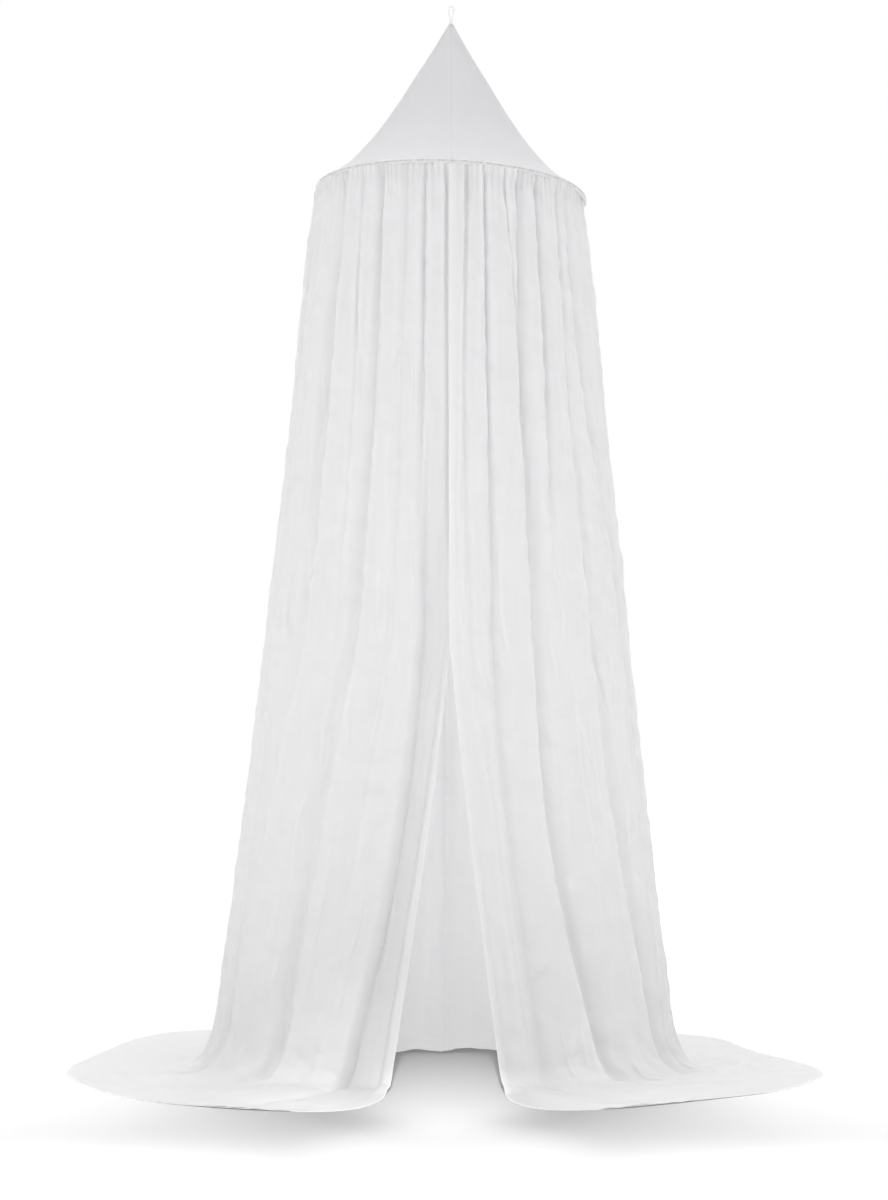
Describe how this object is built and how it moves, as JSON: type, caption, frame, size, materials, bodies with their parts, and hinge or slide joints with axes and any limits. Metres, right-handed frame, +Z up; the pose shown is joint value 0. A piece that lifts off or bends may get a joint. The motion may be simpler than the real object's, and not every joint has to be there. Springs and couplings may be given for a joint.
{
  "type": "mosquito net canopy and hoop",
  "caption": "Round hanging bed canopy of fine white voile: a pointed cone over a hoop and a long open-fronted skirt that trails on the floor.",
  "frame": {"origin": "top of the hanging loop, where a ceiling hook bears", "axes": "+Z up along the hanging line, +Y from the front opening to the back, +X to the right seen from the front"},
  "size_m": [1.4223, 1.0645, 1.9796],
  "materials": {
    "skirt_voile": "fine white cotton voile, matt, slightly sheer",
    "cone_voile": "fine white cotton voile, matt, slightly sheer",
    "casing_voile": "fine white cotton voile, matt, slightly sheer",
    "loop_cord": "thin white twisted cotton cord",
    "hoop_plastic": "plain white rod"
  },
  "bodies": {
    "root": {"hanging_loop": "loop_cord", "cone_left": "cone_voile", "cone_right": "cone_voile", "hoop_casing": "casing_voile", "hoop": "hoop_plastic", "skirt_left": "skirt_voile", "skirt_back_left": "skirt_voile", "skirt_back_right": "skirt_voile", "skirt_right": "skirt_voile"}
  },
  "joints": []
}
